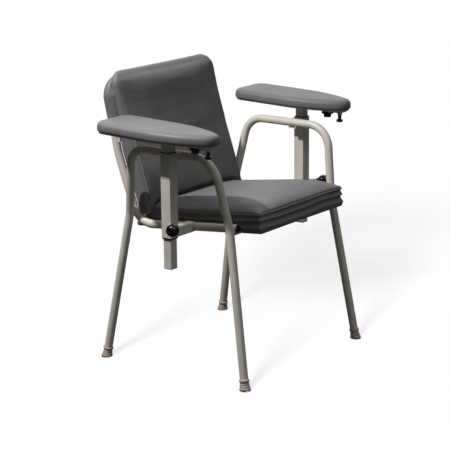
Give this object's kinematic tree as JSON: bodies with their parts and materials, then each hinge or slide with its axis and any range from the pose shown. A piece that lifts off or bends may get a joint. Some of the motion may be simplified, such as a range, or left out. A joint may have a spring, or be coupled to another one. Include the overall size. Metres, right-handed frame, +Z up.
{
  "type": "phlebotomy chair",
  "caption": "Blood-drawing chair: bent-tube frame, box seat and padded back, with padded armrests on square posts that slide in clamped sleeves and swing outwards.",
  "frame": {"origin": "on the floor, below the middle of the whole chair's outer box", "axes": "+Z up, +X to the sitter's left, -Y the way the sitter faces"},
  "size_m": [0.736, 0.5207, 0.7784],
  "materials": {
    "frame": "smooth bone-white powder coat, slight gloss",
    "vinyl": "grey upholstery vinyl with a fine grain and a soft sheen",
    "board": "plain plywood, hidden by the upholstery",
    "knob": "glossy black moulded plastic",
    "black_plastic": "matt black nylon",
    "steel": "bright zinc-plated steel",
    "rubber": "matt grey-brown rubber"
  },
  "bodies": {
    "chair": {"seat_rail_plugs": "black_plastic", "seat_straps": "frame", "back_straps": "frame", "back_top_hoop": "frame", "seat_board": "board", "seat_cushion": "vinyl", "seat_screws": "steel", "back_board": "board", "back_front_cushion": "vinyl", "back_rear_pad": "vinyl", "back_screws": "steel", "lower_brackets": "frame", "upper_brackets": "frame", "sleeve_glides": "black_plastic", "clamp_bosses": "frame", "clamp_slugs": "black_plastic", "front_left_foot": "rubber", "front_right_foot": "rubber", "rear_left_foot": "rubber", "rear_right_foot": "rubber", "left_side_frame": "frame", "left_seat_back_rail": "frame", "left_post_sleeve": "frame", "right_side_frame": "frame", "right_seat_back_rail": "frame", "right_post_sleeve": "frame"},
    "left_arm": {"left_arm_post": "frame", "left_arm_post_plug": "black_plastic", "left_carrier_bar": "frame", "left_plunger_housing": "steel", "left_plunger_spring": "steel", "left_pivot_washer": "steel"},
    "left_plunger": {"left_plunger_pin": "steel", "left_plunger_pull": "knob"},
    "left_pad": {"left_pivot_bolt": "steel", "left_pad_base_plate": "frame", "left_pad_screws": "steel", "left_pad_board": "board", "left_arm_pad_cushion": "vinyl"},
    "left_pad_knob": {"left_pivot_knob": "knob"},
    "left_clamp": {"left_clamp_stud": "steel", "left_clamp_ball_knob": "knob"},
    "right_arm": {"right_arm_post": "frame", "right_arm_post_plug": "black_plastic", "right_carrier_bar": "frame", "right_plunger_housing": "steel", "right_plunger_spring": "steel", "right_pivot_washer": "steel"},
    "right_plunger": {"right_plunger_pin": "steel", "right_plunger_pull": "knob"},
    "right_pad": {"right_pivot_bolt": "steel", "right_pad_base_plate": "frame", "right_pad_screws": "steel", "right_pad_board": "board", "right_arm_pad_cushion": "vinyl"},
    "right_pad_knob": {"right_pivot_knob": "knob"},
    "right_clamp": {"right_clamp_stud": "steel", "right_clamp_ball_knob": "knob"}
  },
  "joints": [
    {"name": "left_arm_height", "type": "slide", "parent": "chair", "child": "left_arm", "axis": [0, 0, 1], "range_m": [-0.02, 0.1]},
    {"name": "left_pad_swivel", "type": "hinge", "parent": "left_arm", "child": "left_pad", "pos_m": [0.298, -0.12541, 0.63842], "axis": [0, 0.0262, -0.9997], "range_deg": [0, 45]},
    {"name": "left_pad_knob_turn", "type": "hinge", "parent": "left_pad", "child": "left_pad_knob", "pos_m": [0.298, -0.125, 0.62272], "axis": [0, -0.0262, 0.9997], "continuous": true},
    {"name": "left_plunger_pull_down", "type": "slide", "parent": "left_arm", "child": "left_plunger", "axis": [0, 0.0262, -0.9997], "range_m": [0, 0.004], "stiffness_N_per_m": 600, "springref_m": -0.004, "deforming": ["left_plunger_spring"]},
    {"name": "left_clamp_turn", "type": "hinge", "parent": "chair", "child": "left_clamp", "pos_m": [0.3429, -0.083, 0.4174], "axis": [0.7071, -0.7071, 0], "continuous": true},
    {"name": "right_arm_height", "type": "slide", "parent": "chair", "child": "right_arm", "axis": [0, 0, 1], "range_m": [-0.02, 0.1]},
    {"name": "right_pad_swivel", "type": "hinge", "parent": "right_arm", "child": "right_pad", "pos_m": [-0.298, -0.12541, 0.63842], "axis": [0, -0.0262, 0.9997], "range_deg": [0, 45]},
    {"name": "right_pad_knob_turn", "type": "hinge", "parent": "right_pad", "child": "right_pad_knob", "pos_m": [-0.298, -0.125, 0.62272], "axis": [0, -0.0262, 0.9997], "continuous": true},
    {"name": "right_plunger_pull_down", "type": "slide", "parent": "right_arm", "child": "right_plunger", "axis": [0, 0.0262, -0.9997], "range_m": [0, 0.004], "stiffness_N_per_m": 600, "springref_m": -0.004, "deforming": ["right_plunger_spring"]},
    {"name": "right_clamp_turn", "type": "hinge", "parent": "chair", "child": "right_clamp", "pos_m": [-0.3429, -0.083, 0.4174], "axis": [-0.7071, -0.7071, 0], "continuous": true}
  ]
}
